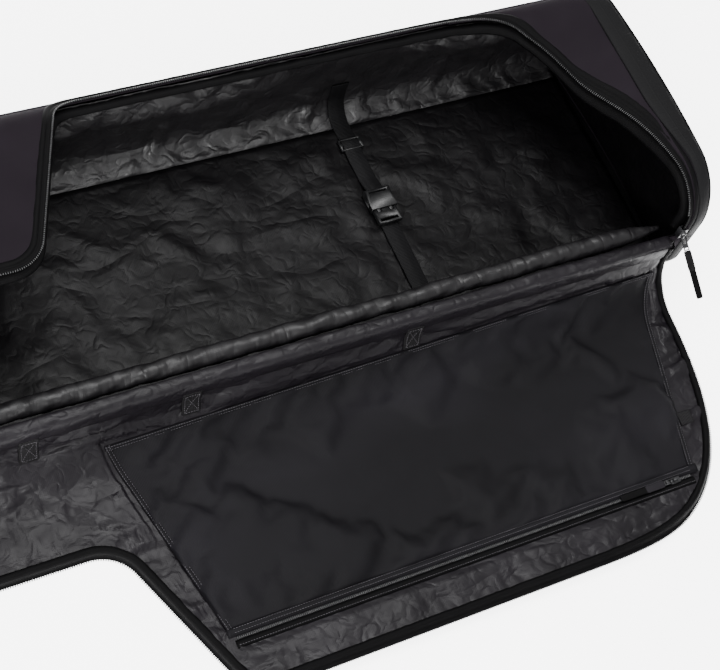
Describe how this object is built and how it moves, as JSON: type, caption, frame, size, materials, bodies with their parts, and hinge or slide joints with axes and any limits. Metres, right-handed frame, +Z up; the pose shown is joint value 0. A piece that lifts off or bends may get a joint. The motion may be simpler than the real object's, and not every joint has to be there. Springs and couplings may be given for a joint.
{
  "type": "snowboard bag",
  "caption": "Long padded snowboard bag lying open: boxy body with a stepped zip opening, a fold-out lid with a mesh pocket, hold-down straps, grab handle.",
  "frame": {"origin": "centre of the footprint of the open bag, on the surface that it lies on", "axes": "+X along the bag towards the end with the grab handle and the wide part of the opening, +Y away from the lid hinge, +Z up"},
  "size_m": [1.673, 0.7426, 0.193],
  "materials": {
    "shell_fabric": "matte coated polyester, charcoal with a faint purple cast",
    "end_band": "matte black ripstop",
    "foam": "closed-cell foam padding, hidden inside the walls",
    "lining": "satin black tarpaulin, creased",
    "pocket_mesh": "fine matte mesh, blue-black",
    "binding": "matte grosgrain and zip tape",
    "webbing": "ribbed nylon webbing",
    "zip_coil": "satin nylon coil",
    "slider_metal": "satin black enamel",
    "pull_fabric": "grey woven sleeve with a black end",
    "buckle_plastic": "fine textured acetal"
  },
  "bodies": {
    "bag_body": {"front_wall_outer": "shell_fabric", "front_wall_foam": "foam", "front_wall_lining": "lining", "back_wall_outer": "shell_fabric", "back_wall_foam": "foam", "back_wall_lining": "lining", "floor_outer": "shell_fabric", "floor_foam": "foam", "floor_lining": "lining", "right_top_panel": "shell_fabric", "right_top_lining": "lining", "left_top_panel": "shell_fabric", "left_top_lining": "lining", "right_end_panel": "shell_fabric", "right_end_lining": "lining", "right_end_band": "end_band", "left_end_panel": "shell_fabric", "left_end_lining": "lining", "left_end_band": "end_band", "end_grab_handle": "webbing", "front_edge_roll": "lining", "hinge_tape": "binding", "body_zip_tape": "binding", "body_zip_coil": "zip_coil", "zip_draft_flap": "binding", "right_strap_far": "webbing", "right_strap_near": "webbing", "right_buckle_socket": "buckle_plastic", "left_strap_far": "webbing", "left_strap_near": "webbing", "left_buckle_socket": "buckle_plastic"},
    "lid": {"lid_outer": "shell_fabric", "lid_foam": "foam", "lid_lining": "lining", "lid_zip_tape": "binding", "lid_zip_coil": "zip_coil", "lid_edge_binding": "binding", "lid_patch_left": "webbing", "lid_patch_middle": "webbing", "lid_patch_right": "webbing", "carry_handle": "webbing", "pocket_mesh": "pocket_mesh", "pocket_zip_tape": "binding", "pocket_zip_coil": "zip_coil", "pocket_tag": "webbing"},
    "main_slider": {"main_slider": "slider_metal"},
    "main_pull": {"main_slider_tab": "slider_metal", "main_pull_strap": "pull_fabric"},
    "pocket_slider": {"pocket_slider": "slider_metal"},
    "pocket_pull": {"pocket_slider_tab": "slider_metal", "pocket_pull_strap": "pull_fabric"},
    "right_plug": {"right_buckle_plug": "buckle_plastic"},
    "right_prong_a": {"right_buckle_prong_a": "buckle_plastic"},
    "right_prong_b": {"right_buckle_prong_b": "buckle_plastic"},
    "right_adjuster": {"right_strap_adjuster": "buckle_plastic"},
    "left_plug": {"left_buckle_plug": "buckle_plastic"},
    "left_prong_a": {"left_buckle_prong_a": "buckle_plastic"},
    "left_prong_b": {"left_buckle_prong_b": "buckle_plastic"},
    "left_adjuster": {"left_strap_adjuster": "buckle_plastic"}
  },
  "joints": [
    {"name": "lid_hinge", "type": "hinge", "parent": "bag_body", "child": "lid", "pos_m": [0, -0.0112, 0.0965], "axis": [-1, 0, 0], "range_deg": [0, 180]},
    {"name": "main_slider_travel", "type": "slide", "parent": "bag_body", "child": "main_slider", "axis": [0, 0, 1], "range_m": [0, 0.02]},
    {"name": "main_pull_swing", "type": "hinge", "parent": "main_slider", "child": "main_pull", "pos_m": [0.79793, -0.0143, 0.1065], "axis": [1, 0, 0], "range_deg": [-110, 60]},
    {"name": "pocket_slider_travel", "type": "slide", "parent": "lid", "child": "pocket_slider", "axis": [-1, 0, 0], "range_m": [0, 0.59]},
    {"name": "pocket_pull_swing", "type": "hinge", "parent": "pocket_slider", "child": "pocket_pull", "pos_m": [0.66453, -0.2992, 0.0161], "axis": [0, 1, 0], "range_deg": [0, 175]},
    {"name": "right_plug_travel", "type": "slide", "parent": "bag_body", "child": "right_plug", "axis": [0, -1, 0], "range_m": [0, 0.024]},
    {"name": "right_prong_a_squeeze", "type": "hinge", "parent": "right_plug", "child": "right_prong_a", "pos_m": [0.45373, 0.1818, 0.0176], "axis": [0, 0, -1], "range_deg": [0, 8], "stiffness_Nm_per_rad": 0.05},
    {"name": "right_prong_b_squeeze", "type": "hinge", "parent": "right_plug", "child": "right_prong_b", "pos_m": [0.47133, 0.1818, 0.0176], "axis": [0, 0, 1], "range_deg": [0, 8], "stiffness_Nm_per_rad": 0.05},
    {"name": "right_adjuster_travel", "type": "slide", "parent": "bag_body", "child": "right_adjuster", "axis": [0, -1, 0], "range_m": [-0.01, 0.058]},
    {"name": "left_plug_travel", "type": "slide", "parent": "bag_body", "child": "left_plug", "axis": [0, -1, 0], "range_m": [0, 0.024]},
    {"name": "left_prong_a_squeeze", "type": "hinge", "parent": "left_plug", "child": "left_prong_a", "pos_m": [-0.48627, 0.1818, 0.0176], "axis": [0, 0, -1], "range_deg": [0, 8], "stiffness_Nm_per_rad": 0.05},
    {"name": "left_prong_b_squeeze", "type": "hinge", "parent": "left_plug", "child": "left_prong_b", "pos_m": [-0.46867, 0.1818, 0.0176], "axis": [0, 0, 1], "range_deg": [0, 8], "stiffness_Nm_per_rad": 0.05},
    {"name": "left_adjuster_travel", "type": "slide", "parent": "bag_body", "child": "left_adjuster", "axis": [0, -1, 0], "range_m": [-0.01, 0.058]}
  ],
  "couplings": [
    {"joint": "right_prong_b_squeeze", "follows": "right_prong_a_squeeze", "ratio": 1},
    {"joint": "left_prong_b_squeeze", "follows": "left_prong_a_squeeze", "ratio": 1}
  ]
}
